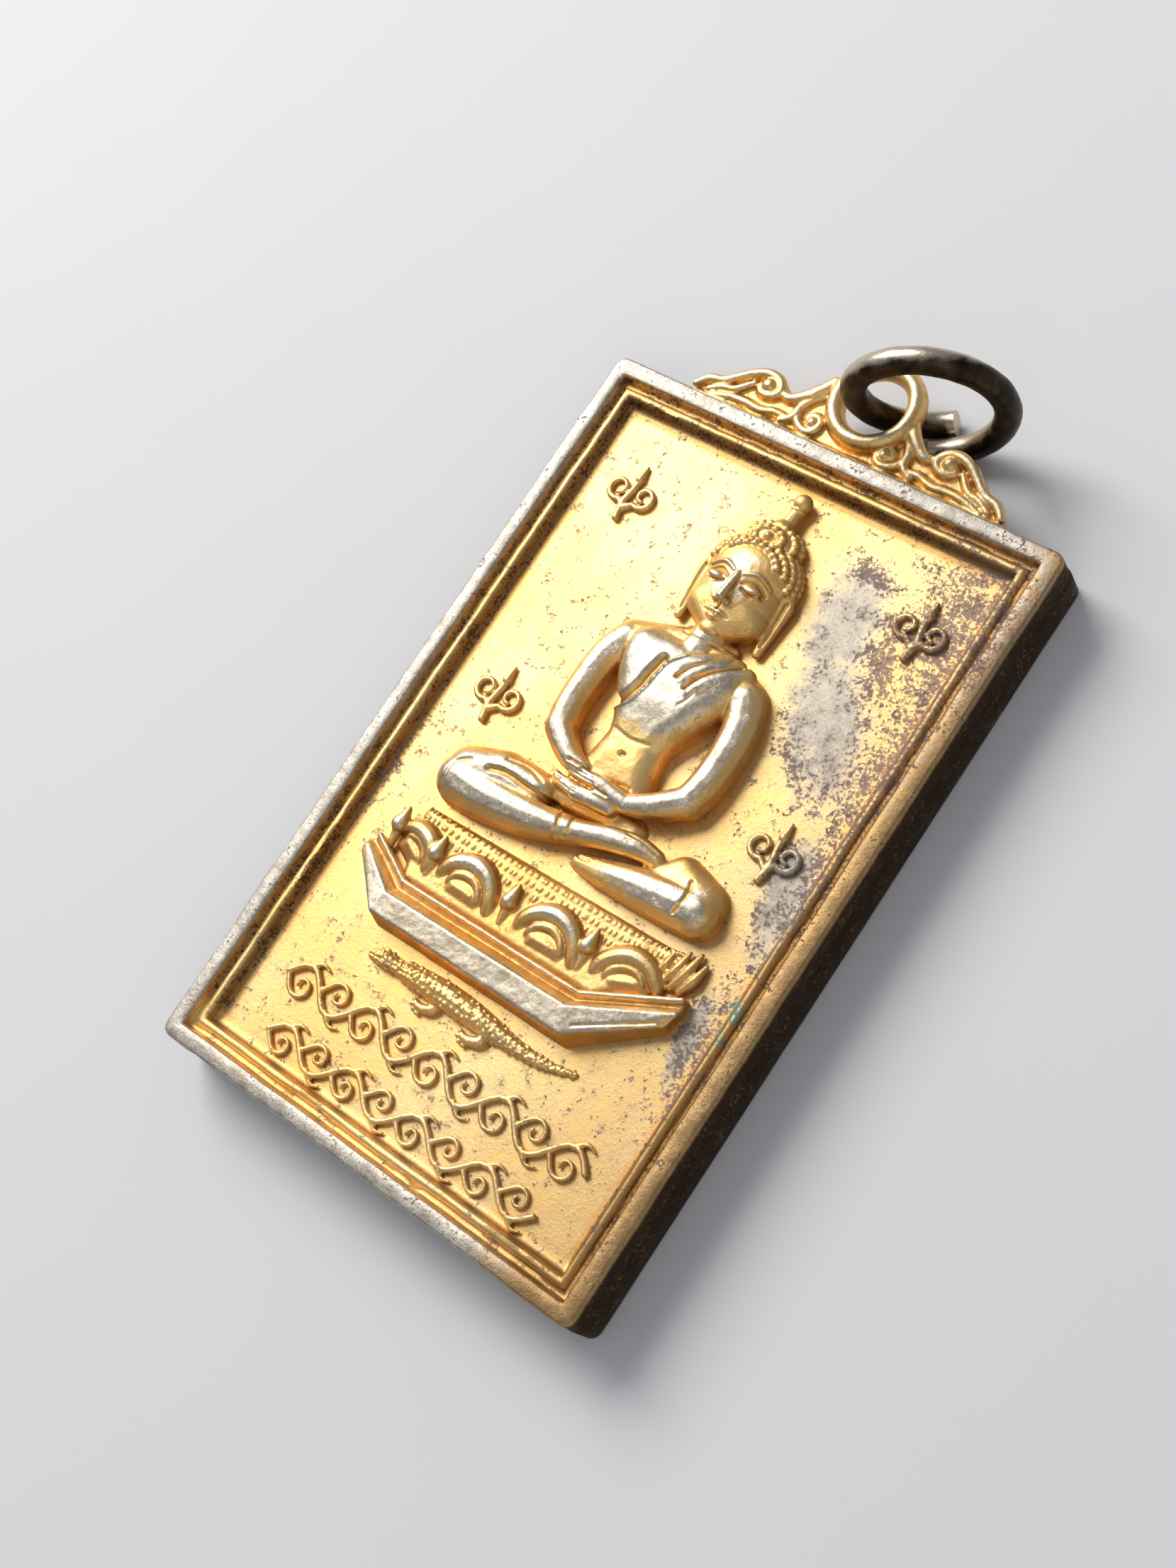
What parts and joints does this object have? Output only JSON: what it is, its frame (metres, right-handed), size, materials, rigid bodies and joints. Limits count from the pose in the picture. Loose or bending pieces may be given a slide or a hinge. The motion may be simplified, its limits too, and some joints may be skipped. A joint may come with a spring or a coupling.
{
  "type": "rectangular gilt amulet pendant with a seated figure in relief, scroll crest and open jump ring",
  "caption": "Framed metal plaque with a seated meditating figure on a lotus throne in high relief, a scroll crest with a hanging loop, and an open jump ring.",
  "frame": {"origin": "centre of the plaque's flat back face", "axes": "+X across the plaque, +Y up the plaque towards the crest, +Z out of the face"},
  "size_m": [0.024, 0.0423, 0.0078],
  "materials": {
    "gilt": "satin cast gilt brass with darker tarnish in the grooves",
    "worn_gilt": "gilt rubbed through to pale metal on the high points",
    "ring_bronze": "dark oxidised wire with rubbed highlights"
  },
  "bodies": {
    "root": {"plaque": "gilt", "crest": "gilt", "seated_figure": "worn_gilt", "lotus_throne": "gilt", "plinth": "worn_gilt", "crocodile": "gilt", "vine_upper": "gilt", "vine_lower": "gilt", "sprig_upper_left": "gilt", "sprig_upper_right": "gilt", "sprig_lower_left": "gilt", "sprig_lower_right": "gilt", "jump_ring": "ring_bronze"}
  },
  "joints": []
}
